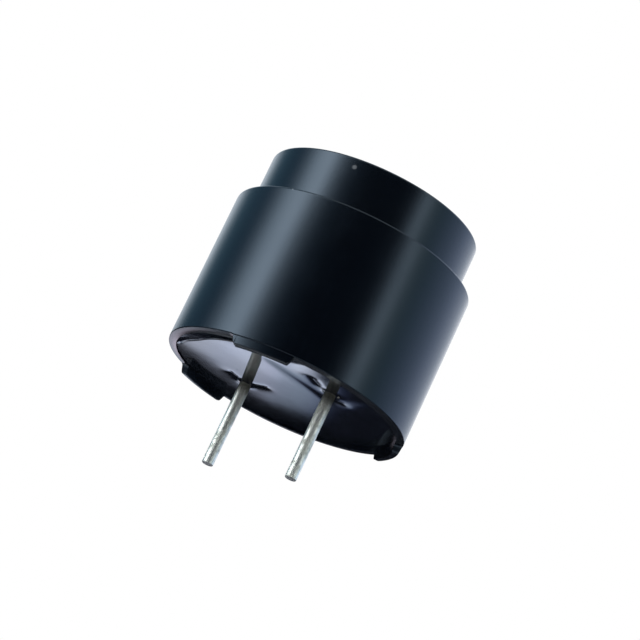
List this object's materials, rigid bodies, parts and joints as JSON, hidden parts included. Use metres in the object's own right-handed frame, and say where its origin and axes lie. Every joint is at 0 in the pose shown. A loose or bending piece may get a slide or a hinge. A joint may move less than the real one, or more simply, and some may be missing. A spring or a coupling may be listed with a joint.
{
  "type": "magnetic buzzer",
  "caption": "Round stepped magnetic buzzer: moulded case with a sound port, resin-potted base, stand-off feet on the rim and straight round solder pins.",
  "frame": {"origin": "on the case's axis, in the plane of the feet that stand on the circuit board", "axes": "+Z along the case's axis towards the sound port; the pins point along -Z; +X from the negative pin towards the positive pin"},
  "size_m": [0.016, 0.016, 0.0191],
  "materials": {
    "case_plastic": "gloss",
    "spring_steel": "satin",
    "plated_iron": "satin",
    "ring_plastic": "matte",
    "ferrite": "matte",
    "bobbin_nylon": "satin",
    "red_enamelled_copper": "gloss",
    "amber_enamelled_copper": "gloss",
    "board_laminate": "satin",
    "component_epoxy": "matte",
    "solder_tin": "satin",
    "component_ceramic": "satin",
    "tinned_pin": "polished",
    "potting_resin": "polished"
  },
  "bodies": {
    "root": {"case": "case_plastic", "sound_diaphragm": "spring_steel", "armature_disc": "plated_iron", "diaphragm_ring": "ring_plastic", "ring_magnet": "ferrite", "yoke_plate": "plated_iron", "pole_core": "plated_iron", "coil_bobbin": "bobbin_nylon", "drive_winding": "red_enamelled_copper", "feedback_winding": "amber_enamelled_copper", "drive_lead": "red_enamelled_copper", "common_lead": "red_enamelled_copper", "feedback_lead": "amber_enamelled_copper", "insulating_ring": "bobbin_nylon", "circuit_board": "board_laminate", "transistor": "component_epoxy", "transistor_legs": "solder_tin", "bias_resistor": "component_ceramic", "clamp_diode": "component_epoxy", "positive_pin": "tinned_pin", "negative_pin": "tinned_pin", "positive_solder": "solder_tin", "negative_solder": "solder_tin", "lead_solder": "solder_tin", "potting": "potting_resin"}
  },
  "joints": []
}
